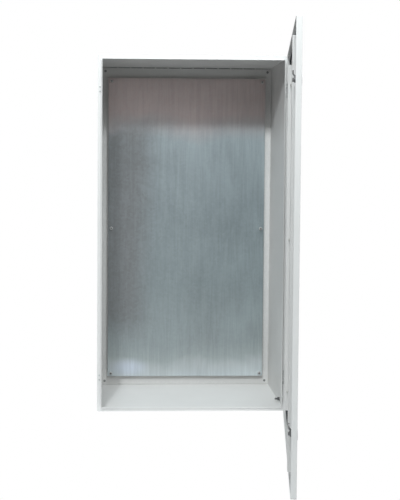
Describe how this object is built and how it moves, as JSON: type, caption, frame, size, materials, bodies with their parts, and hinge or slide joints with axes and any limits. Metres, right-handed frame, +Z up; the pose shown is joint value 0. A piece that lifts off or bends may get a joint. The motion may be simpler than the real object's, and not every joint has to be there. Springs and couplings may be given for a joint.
{
  "type": "steel wall enclosure",
  "caption": "Folded sheet-steel wall enclosure with a side-hung door on concealed hinges, quarter-turn cam locks, foam gasket and a galvanised mounting plate.",
  "frame": {"origin": "centre of the pattern of wall holes, on the rear face of the body", "axes": "+Z up, +Y into the wall, +X to the right of a viewer who faces the door side"},
  "size_m": [0.6063, 0.8643, 1.125],
  "materials": {
    "paint": "light grey textured powder coat",
    "galvanised": "hot-dip galvanised sheet, faint spangle and rolling streaks",
    "zinc_steel": "bright zinc-plated steel",
    "cast_zinc": "die-cast zinc, satin",
    "foam": "foamed-in-place polyurethane",
    "grey_plastic": "moulded plug"
  },
  "bodies": {
    "enclosure": {"body_wrap": "paint", "back_panel": "paint", "plate_studs": "zinc_steel", "plate_spacers": "zinc_steel", "mounting_plate": "galvanised", "plate_washers": "zinc_steel", "plate_nuts": "zinc_steel", "hinge_leaf_body_upper": "zinc_steel", "hinge_leaf_body_lower": "zinc_steel", "hinge_nuts": "zinc_steel", "hinge_pin_upper": "zinc_steel", "hinge_pin_lower": "zinc_steel", "spare_hole_plugs": "grey_plastic", "earth_stud_body": "zinc_steel", "earth_washer_body": "zinc_steel", "earth_nut_body": "zinc_steel"},
    "door": {"door_skin": "paint", "door_gasket": "foam", "door_rail_latch": "paint", "door_rail_hinge": "paint", "rail_studs": "zinc_steel", "rail_nuts": "zinc_steel", "hinge_leaf_door_upper": "zinc_steel", "hinge_leaf_door_lower": "zinc_steel", "earth_stud_door": "zinc_steel", "earth_washer_door": "zinc_steel", "earth_nut_door": "zinc_steel", "lock_housing_upper": "cast_zinc", "lock_housing_lower": "cast_zinc", "lock_nut_upper": "cast_zinc", "lock_nut_lower": "cast_zinc"},
    "lock_upper": {"lock_insert_upper": "cast_zinc", "lock_cam_upper": "zinc_steel", "cam_washer_upper": "zinc_steel", "cam_screw_upper": "zinc_steel"},
    "lock_lower": {"lock_insert_lower": "cast_zinc", "lock_cam_lower": "zinc_steel", "cam_washer_lower": "zinc_steel", "cam_screw_lower": "zinc_steel"}
  },
  "joints": [
    {"name": "door_hinge", "type": "hinge", "parent": "enclosure", "child": "door", "pos_m": [0.297, -0.2766, 0], "axis": [0, 0, 1], "range_deg": [-79, 41]},
    {"name": "lock_upper_turn", "type": "hinge", "parent": "door", "child": "lock_upper", "pos_m": [0.19589, -0.83558, 0.4175], "axis": [0.9816, -0.1908, 0], "range_deg": [0, 90]},
    {"name": "lock_lower_turn", "type": "hinge", "parent": "door", "child": "lock_lower", "pos_m": [0.19589, -0.83558, -0.4175], "axis": [0.9816, -0.1908, 0], "range_deg": [0, 90]}
  ]
}
